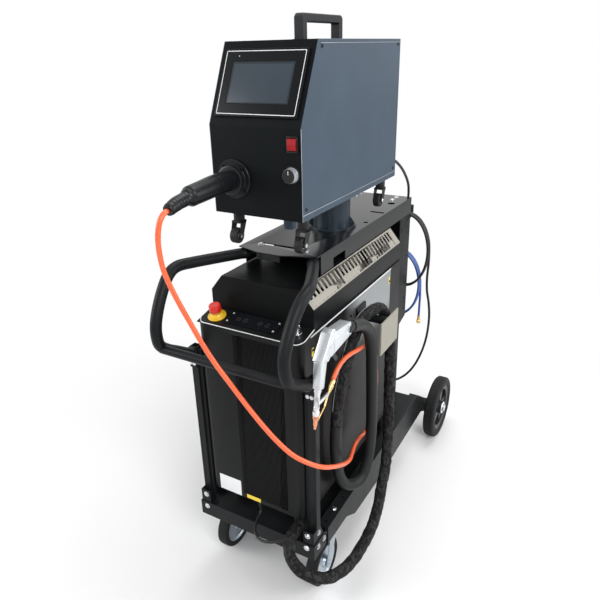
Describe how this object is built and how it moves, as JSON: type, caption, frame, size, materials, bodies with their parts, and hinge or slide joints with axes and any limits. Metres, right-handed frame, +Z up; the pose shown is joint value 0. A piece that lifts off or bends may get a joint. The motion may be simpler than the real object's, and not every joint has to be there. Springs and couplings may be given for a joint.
{
  "type": "laser welding machine",
  "caption": "Handheld laser welding machine: laser unit on a wheeled trolley, swivelling wire feeder above it, welding torch hung at the side on its hose.",
  "frame": {"origin": "on the floor under the middle of the machine, without its free hoses and cables", "axes": "+Z up, -Y towards the operator (the console and the screen face -Y), +X to the operator's right, the side where the torch hangs"},
  "size_m": [0.5778, 1.3108, 1.576],
  "materials": {
    "black_paint": "powder coat",
    "steel": "satin",
    "zinc": "zinc plated",
    "slate_paint": "satin",
    "beige_paint": "satin",
    "charcoal_paint": "satin",
    "dark_silver": "satin",
    "gloss_black": "gloss",
    "black_plastic": "matte",
    "module_grey": "satin",
    "yellow_plastic": "satin",
    "red_plastic": "gloss",
    "tyre": "matte",
    "wheel_silver": "satin",
    "caster_rubber": "matte",
    "black_satin": "satin",
    "black_rubber": "matte",
    "copper_wire": "satin",
    "brass": "satin",
    "torch_grey": "satin",
    "copper": "polished copper",
    "orange_tube": "satin",
    "blue_rubber": "satin"
  },
  "bodies": {
    "trolley": {"base_pan": "black_paint", "chassis_frame": "black_paint", "axle": "steel", "front_posts": "black_paint", "rear_column": "black_paint", "top_plate": "black_paint", "handle_frame": "black_paint", "caster_plates": "zinc", "trolley_bolts": "steel", "pedestal": "slate_paint", "hose_hanger": "beige_paint", "unit_case": "charcoal_paint", "front_panel": "charcoal_paint", "console_panel": "charcoal_paint", "display_panel": "gloss_black", "hood": "beige_paint", "side_panels": "dark_silver", "cable_glands": "black_plastic", "laser_module": "module_grey", "power_supply": "module_grey", "estop_base": "yellow_plastic", "key_switch": "steel", "torch_body": "torch_grey", "torch_nozzle": "copper", "umbilical_hose": "black_rubber", "orange_liner": "orange_tube", "feeder_lead": "black_rubber", "blue_hose": "blue_rubber", "signal_cable": "black_rubber"},
    "left_wheel": {"left_tyre": "tyre", "left_hub": "wheel_silver"},
    "right_wheel": {"right_tyre": "tyre", "right_hub": "wheel_silver"},
    "left_caster": {"left_caster_fork": "zinc"},
    "left_caster_roller": {"left_caster_wheel": "caster_rubber"},
    "right_caster": {"right_caster_fork": "zinc"},
    "right_caster_roller": {"right_caster_wheel": "caster_rubber"},
    "estop_button": {"estop_cap": "red_plastic"},
    "key_turn": {"key": "steel"},
    "fan": {"fan_rotor": "black_plastic"},
    "feeder": {"feeder_shell": "slate_paint", "feeder_front": "black_satin", "feeder_cover": "slate_paint", "hmi_panel": "gloss_black", "hose_socket": "black_plastic", "hose_sleeve": "black_rubber", "feeder_handle": "black_plastic", "feeder_screws": "steel", "feed_motor": "module_grey"},
    "door": {"feeder_door": "slate_paint"},
    "power_rocker": {"rocker": "red_plastic"},
    "knob": {"speed_knob": "black_plastic"},
    "spool": {"wire_spool": "copper_wire"},
    "roll": {"drive_roll": "brass"},
    "arm": {"pressure_arm": "module_grey"},
    "feeder_wheel_1": {"feeder_caster_1": "caster_rubber"},
    "feeder_wheel_2": {"feeder_caster_2": "caster_rubber"},
    "feeder_wheel_3": {"feeder_caster_3": "caster_rubber"},
    "feeder_wheel_4": {"feeder_caster_4": "caster_rubber"},
    "trigger": {"torch_trigger": "black_plastic"}
  },
  "joints": [
    {"name": "left_wheel_spin", "type": "hinge", "parent": "trolley", "child": "left_wheel", "pos_m": [-0.24, 0.492, 0.125], "axis": [1, 0, 0], "continuous": true},
    {"name": "right_wheel_spin", "type": "hinge", "parent": "trolley", "child": "right_wheel", "pos_m": [0.24, 0.492, 0.125], "axis": [1, 0, 0], "continuous": true},
    {"name": "left_caster_swivel", "type": "hinge", "parent": "trolley", "child": "left_caster", "pos_m": [-0.16, -0.36, 0.19], "axis": [0, 0, 1], "continuous": true},
    {"name": "left_caster_spin", "type": "hinge", "parent": "left_caster", "child": "left_caster_roller", "pos_m": [-0.16, -0.39, 0.075], "axis": [1, 0, 0], "continuous": true},
    {"name": "right_caster_swivel", "type": "hinge", "parent": "trolley", "child": "right_caster", "pos_m": [0.16, -0.36, 0.19], "axis": [0, 0, 1], "continuous": true},
    {"name": "right_caster_spin", "type": "hinge", "parent": "right_caster", "child": "right_caster_roller", "pos_m": [0.16, -0.39, 0.075], "axis": [1, 0, 0], "continuous": true},
    {"name": "estop_press", "type": "slide", "parent": "trolley", "child": "estop_button", "axis": [0, 0.2228, -0.9749], "range_m": [0, 0.005]},
    {"name": "key_rotate", "type": "hinge", "parent": "trolley", "child": "key_turn", "pos_m": [0.125, -0.44101, 0.85591], "axis": [0, -0.2228, 0.9749], "range_deg": [0, 90]},
    {"name": "fan_spin", "type": "hinge", "parent": "trolley", "child": "fan", "pos_m": [0, 0.166, 0.602], "axis": [0, 1, 0], "continuous": true},
    {"name": "feeder_swivel", "type": "hinge", "parent": "trolley", "child": "feeder", "pos_m": [0.018, -0.04, 1.134], "axis": [0, 0, 1], "range_deg": [-30, 30], "deforming": ["orange_liner", "feeder_lead"]},
    {"name": "door_open", "type": "hinge", "parent": "feeder", "child": "door", "pos_m": [-0.1045, 0.1493, 1.3265], "axis": [0, 0, -1], "range_deg": [0, 100]},
    {"name": "rocker_tilt", "type": "hinge", "parent": "feeder", "child": "power_rocker", "pos_m": [0.118, -0.4275, 1.308], "axis": [1, 0, 0], "range_deg": [-10, 10]},
    {"name": "knob_turn", "type": "hinge", "parent": "feeder", "child": "knob", "pos_m": [0.115, -0.43, 1.242], "axis": [0, -1, 0], "range_deg": [0, 270]},
    {"name": "spool_spin", "type": "hinge", "parent": "feeder", "child": "spool", "pos_m": [-0.015, -0.015, 1.326], "axis": [1, 0, 0], "continuous": true},
    {"name": "roll_spin", "type": "hinge", "parent": "feeder", "child": "roll", "pos_m": [0.019, -0.25, 1.246], "axis": [1, 0, 0], "continuous": true},
    {"name": "arm_lift", "type": "hinge", "parent": "feeder", "child": "arm", "pos_m": [0.017, -0.216, 1.291], "axis": [-1, 0, 0], "range_deg": [0, 45]},
    {"name": "feeder_caster_1_swivel", "type": "hinge", "parent": "feeder", "child": "feeder_wheel_1", "pos_m": [-0.071, -0.38, 1.11], "axis": [0, 0, 1], "continuous": true},
    {"name": "feeder_caster_2_swivel", "type": "hinge", "parent": "feeder", "child": "feeder_wheel_2", "pos_m": [0.114, -0.38, 1.11], "axis": [0, 0, 1], "continuous": true},
    {"name": "feeder_caster_3_swivel", "type": "hinge", "parent": "feeder", "child": "feeder_wheel_3", "pos_m": [-0.075, 0.105, 1.11], "axis": [0, 0, 1], "continuous": true},
    {"name": "feeder_caster_4_swivel", "type": "hinge", "parent": "feeder", "child": "feeder_wheel_4", "pos_m": [0.11, 0.105, 1.11], "axis": [0, 0, 1], "continuous": true},
    {"name": "trigger_pull", "type": "hinge", "parent": "trolley", "child": "trigger", "pos_m": [0.222, -0.478, 0.862], "axis": [1, 0, 0], "range_deg": [0, 10], "stiffness_Nm_per_rad": 0.5, "springref_deg": -5.73}
  ],
  "couplings": [
    {"joint": "roll_spin", "follows": "spool_spin", "ratio": 7.875}
  ]
}
